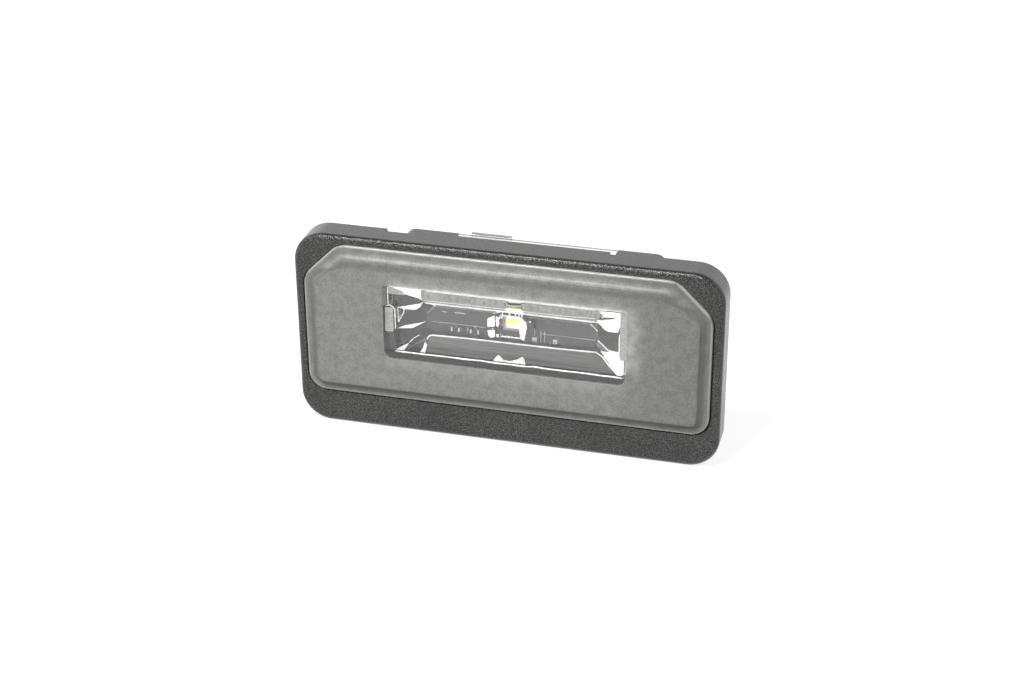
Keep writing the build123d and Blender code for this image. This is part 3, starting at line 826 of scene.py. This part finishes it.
class LAMP_OT_stage(bpy.types.Operator):
    """Set the camera, the pale floor, the surroundings and the lamps"""

    bl_idname = "lamp.stage"
    bl_label = "Stage"

    def execute(self, context):
        stage = context.scene.lamp_stage
        self.set_camera(context.scene, stage)
        self.lay_floor()
        self.set_surroundings(context.scene, stage)
        self.hang_lamp("softbox_key", place=(-0.14, -0.28, 0.52), size=(0.16, 0.10), power=stage.key)
        self.hang_lamp("softbox_front", place=(0.33, -0.62, 0.05), size=(0.2, 0.3), power=stage.fill)
        context.scene.view_settings.view_transform = "Standard"
        return {"FINISHED"}

    def set_camera(self, scene, stage):
        """Place the camera on a sphere round its aim, and roll it about its view."""
        back = Vector((
            math.sin(stage.azimuth) * math.cos(stage.elevation),
            -math.cos(stage.azimuth) * math.cos(stage.elevation),
            math.sin(stage.elevation),
        ))
        right = Vector((0.0, 0.0, 1.0)).cross(back).normalized()
        up = back.cross(right)
        axes = Matrix((right, up, back)).transposed()
        camera = bpy.data.objects.new("camera", bpy.data.cameras.new("camera"))
        camera.data.lens = stage.focal_length
        camera.data.sensor_width = stage.sensor_width
        camera.data.clip_start = 1 * MM
        camera.matrix_world = Matrix.Translation(Vector(stage.aim) + back * stage.distance) @ (
            axes @ Matrix.Rotation(-stage.roll, 3, "Z")).to_4x4()
        scene.collection.objects.link(camera)
        scene.camera = camera

    def lay_floor(self):
        """Lay a wide floor under the lamp's lowest edge; it shows white and keeps the shadow."""
        half = 3.0
        low = cad_box[0][2]
        mesh = bpy.data.meshes.new("floor")
        corners = [(-half, -half, low), (half, -half, low), (half, half, low), (-half, half, low)]
        mesh.from_pydata(corners, [], [(0, 1, 2, 3)])
        floor = bpy.data.objects.new("floor", mesh)
        bpy.context.scene.collection.objects.link(floor)
        finish = Finish("pale_floor")
        path = finish.path()
        seen = finish.math("MAXIMUM", path["Is Camera Ray"],
                           finish.math("MAXIMUM", path["Is Glossy Ray"], path["Is Transmission Ray"]))
        cloud = finish.noise(0.2, detail=2.0)
        floor.data.materials.append(finish.dress({
            "Base Color": finish.mix(cloud, (0.27, 0.27, 0.27, 1.0), (0.29, 0.29, 0.29, 1.0)),
            "Roughness": 0.9,
            "Specular IOR Level": 0.1,
            "Emission Color": WHITE,
            "Emission Strength": finish.times(seen, 0.8),
        }))

    def set_surroundings(self, scene, stage):
        """White to the camera; for light and reflections bright behind, dim in front and dimmest above."""
        world = bpy.data.worlds.new("surroundings")
        scene.world = world
        world.use_nodes = True
        ground = world.node_tree.nodes["Background"]
        nodes = Nodes(world.node_tree, "Generated")
        _, rearward, upward = nodes.axes()
        rise = nodes.math("MULTIPLY_ADD", upward, 1.2, rearward)
        light = nodes.times(nodes.between(rise, -0.7, 0.6, stage.room, stage.sky),
                            nodes.between(upward, 0.5, 0.8, 1.0, stage.zenith))
        nodes.put(ground.inputs["Color"], WHITE)
        nodes.put(ground.inputs["Strength"], nodes.math("MAXIMUM", light, nodes.path()["Is Camera Ray"]))

    def hang_lamp(self, name, place, size, power):
        """Hang one soft area lamp that faces the lamp's middle."""
        lamp = bpy.data.objects.new(name, bpy.data.lights.new(name, "AREA"))
        lamp.data.shape = "RECTANGLE"
        lamp.data.size, lamp.data.size_y = size
        lamp.data.energy = power
        lamp.location = place
        lamp.rotation_euler = (-Vector(place)).to_track_quat("-Z", "Y").to_euler()
        bpy.context.scene.collection.objects.link(lamp)


class LAMP_PT_panel(bpy.types.Panel):
    """Lists the lamp's steps, sizes and colours"""

    bl_label = "Number plate lamp"
    bl_idname = "LAMP_PT_panel"
    bl_space_type = "VIEW_3D"
    bl_region_type = "UI"
    bl_category = "Lamp"

    def draw(self, context):
        for step in STEPS:
            self.layout.operator(step.bl_idname)
        for group in (context.scene.lamp_colours, context.scene.lamp_sizes, context.scene.lamp_stage):
            box = self.layout.box()
            for name in group.__annotations__:
                box.prop(group, name)


GROUPS = {"lamp_colours": LampColours, "lamp_sizes": LampSizes, "lamp_stage": LampStage}
STEPS = (
    LAMP_OT_mouldings, LAMP_OT_lens, LAMP_OT_light_guide, LAMP_OT_gleams, LAMP_OT_board, LAMP_OT_tracks,
    LAMP_OT_metal, LAMP_OT_stage,
)


def register():
    for cls in (*GROUPS.values(), *STEPS, LAMP_PT_panel):
        bpy.utils.register_class(cls)
    for name, cls in GROUPS.items():
        setattr(bpy.types.Scene, name, PointerProperty(type=cls))


def unregister():
    for name in GROUPS:
        delattr(bpy.types.Scene, name)
    for cls in (LAMP_PT_panel, *reversed(STEPS), *GROUPS.values()):
        bpy.utils.unregister_class(cls)


def main():
    register()
    bpy.ops.lamp.mouldings()
    bpy.ops.lamp.lens()
    bpy.ops.lamp.light_guide()
    bpy.ops.lamp.gleams()
    bpy.ops.lamp.board()
    bpy.ops.lamp.tracks()
    bpy.ops.lamp.metal()
    bpy.ops.lamp.stage()


if __name__ == "__main__":
    main()
